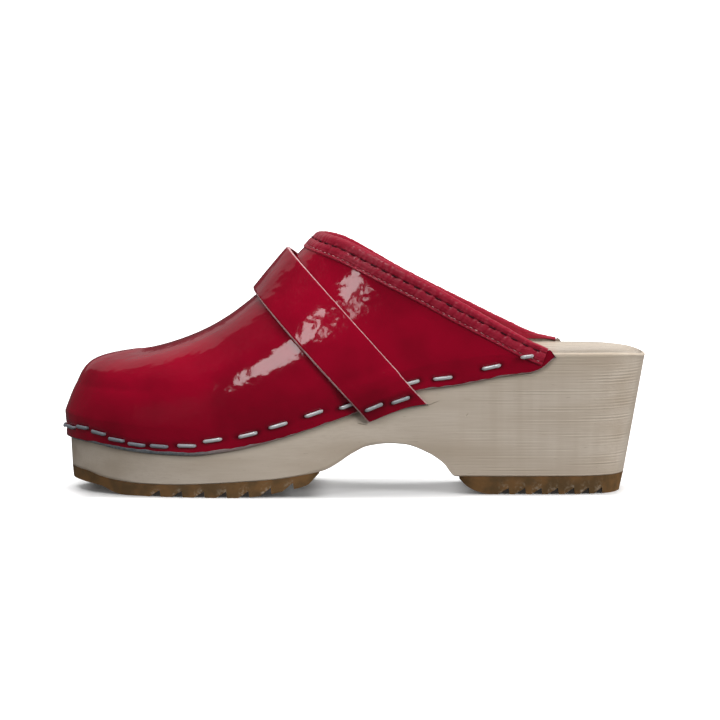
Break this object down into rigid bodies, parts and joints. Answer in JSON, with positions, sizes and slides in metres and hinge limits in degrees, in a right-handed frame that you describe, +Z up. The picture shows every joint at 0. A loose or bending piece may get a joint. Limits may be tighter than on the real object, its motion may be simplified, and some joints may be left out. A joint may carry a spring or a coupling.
{
  "type": "clog",
  "caption": "Open-backed clog for the left foot: glossy red leather vamp with an instep strap, stapled over a wooden sole with rubber treads.",
  "frame": {"origin": "on the floor under the middle of the clog's length and width", "axes": "+Z up; the toe points along -X and the heel along +X; the outer side of the left foot faces -Y and the inner side +Y"},
  "size_m": [0.2503, 0.098, 0.111],
  "materials": {
    "alder": "smooth pale alder under clear lacquer",
    "honey_rubber": "matt honey-brown tread rubber",
    "patent_leather": "glossy red patent",
    "soft_leather": "semi-gloss soft red leather",
    "staple_steel": "bright drawn wire"
  },
  "bodies": {
    "root": {"band_staple_inner": "staple_steel", "band_staple_outer": "staple_steel", "collar_binding": "soft_leather", "forefoot_rubber": "honey_rubber", "heel_rubber": "honey_rubber", "instep_strap": "patent_leather", "staple_inner_01": "staple_steel", "staple_inner_02": "staple_steel", "staple_inner_03": "staple_steel", "staple_inner_04": "staple_steel", "staple_inner_05": "staple_steel", "staple_inner_06": "staple_steel", "staple_inner_07": "staple_steel", "staple_inner_08": "staple_steel", "staple_inner_09": "staple_steel", "staple_inner_10": "staple_steel", "staple_inner_11": "staple_steel", "staple_inner_12": "staple_steel", "staple_inner_13": "staple_steel", "staple_inner_14": "staple_steel", "staple_inner_15": "staple_steel", "staple_inner_16": "staple_steel", "staple_outer_01": "staple_steel", "staple_outer_02": "staple_steel", "staple_outer_03": "staple_steel", "staple_outer_04": "staple_steel", "staple_outer_05": "staple_steel", "staple_outer_06": "staple_steel", "staple_outer_07": "staple_steel", "staple_outer_08": "staple_steel", "staple_outer_09": "staple_steel", "staple_outer_10": "staple_steel", "staple_outer_11": "staple_steel", "staple_outer_12": "staple_steel", "staple_outer_13": "staple_steel", "staple_outer_14": "staple_steel", "staple_outer_15": "staple_steel", "staple_outer_16": "staple_steel", "staple_toe": "staple_steel", "strap_staple_inner_back": "staple_steel", "strap_staple_inner_front": "staple_steel", "strap_staple_outer_back": "staple_steel", "strap_staple_outer_front": "staple_steel", "upper": "patent_leather", "wood_sole": "alder"}
  },
  "joints": []
}
